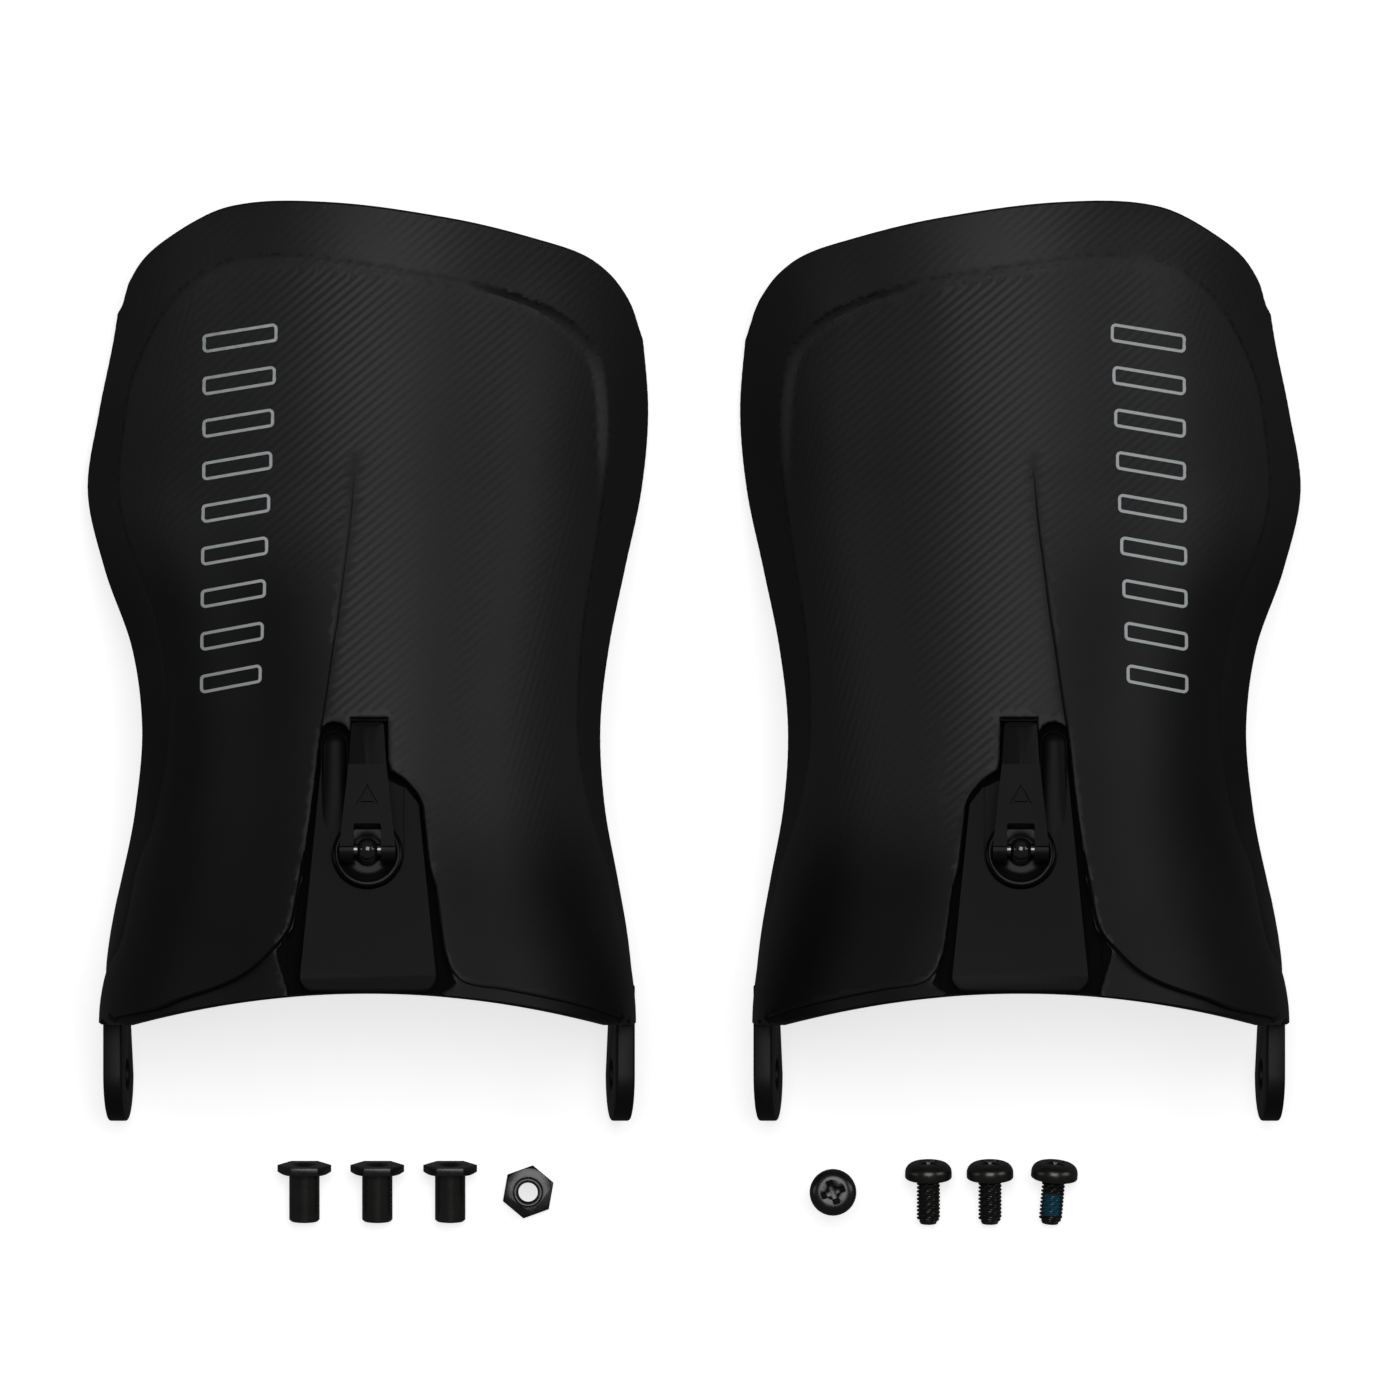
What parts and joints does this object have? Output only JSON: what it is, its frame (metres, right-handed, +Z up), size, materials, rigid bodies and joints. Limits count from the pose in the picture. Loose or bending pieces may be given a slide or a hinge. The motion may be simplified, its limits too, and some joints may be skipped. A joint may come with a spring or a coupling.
{
  "type": "snowboard binding highback pair",
  "caption": "Matched pair of black moulded binding highbacks with sliding lean blocks and cam levers, laid out with their sleeve nuts and pan-head screws.",
  "frame": {"origin": "centre of the layout on the surface it lies on", "axes": "+X across the pair from the left highback to the right one, +Y from the ears to the upper rims, +Z up from the surface, towards the highbacks' outer faces"},
  "size_m": [0.3116, 0.2628, 0.0867],
  "materials": {
    "shell_nylon": "satin black moulded nylon with a fine diagonal rib texture",
    "pad_foam": "matte closed-cell foam",
    "block_nylon": "satin black moulded nylon",
    "disc_plastic": "glossy black",
    "lever_nylon": "satin black glass-filled nylon",
    "pin_steel": "dark burnished steel",
    "plate_black": "black coated plate",
    "hardware_black": "glossy black oxide",
    "fastener_black": "black zinc, slightly glossy"
  },
  "bodies": {
    "root": {"left_shell": "shell_nylon", "left_calf_pad": "pad_foam", "right_shell": "shell_nylon", "right_calf_pad": "pad_foam", "tnut_1": "fastener_black", "tnut_2": "fastener_black", "tnut_3": "fastener_black", "tnut_4": "fastener_black", "screw_1": "fastener_black", "screw_2": "fastener_black", "screw_3": "fastener_black", "screw_4": "fastener_black"},
    "left_slider": {"left_lean_block": "block_nylon", "left_cam_washer": "disc_plastic", "left_clamp_bolt": "hardware_black", "left_barrel_pin": "pin_steel", "left_backing_plate": "plate_black", "left_clamp_nut": "hardware_black"},
    "left_lever": {"left_cam_lever": "lever_nylon"},
    "right_slider": {"right_lean_block": "block_nylon", "right_cam_washer": "disc_plastic", "right_clamp_bolt": "hardware_black", "right_barrel_pin": "pin_steel", "right_backing_plate": "plate_black", "right_clamp_nut": "hardware_black"},
    "right_lever": {"right_cam_lever": "lever_nylon"}
  },
  "joints": [
    {"name": "left_lean_slide", "type": "slide", "parent": "root", "child": "left_slider", "axis": [0, -0.9749, 0.2227], "range_m": [0, 0.018]},
    {"name": "left_lever_flip", "type": "hinge", "parent": "left_slider", "child": "left_lever", "pos_m": [-0.0833, -0.03486, 0.08239], "axis": [1, 0, 0], "range_deg": [0, 100]},
    {"name": "right_lean_slide", "type": "slide", "parent": "root", "child": "right_slider", "axis": [0, -0.9749, 0.2227], "range_m": [0, 0.018]},
    {"name": "right_lever_flip", "type": "hinge", "parent": "right_slider", "child": "right_lever", "pos_m": [0.0833, -0.03486, 0.08239], "axis": [1, 0, 0], "range_deg": [0, 100]}
  ]
}
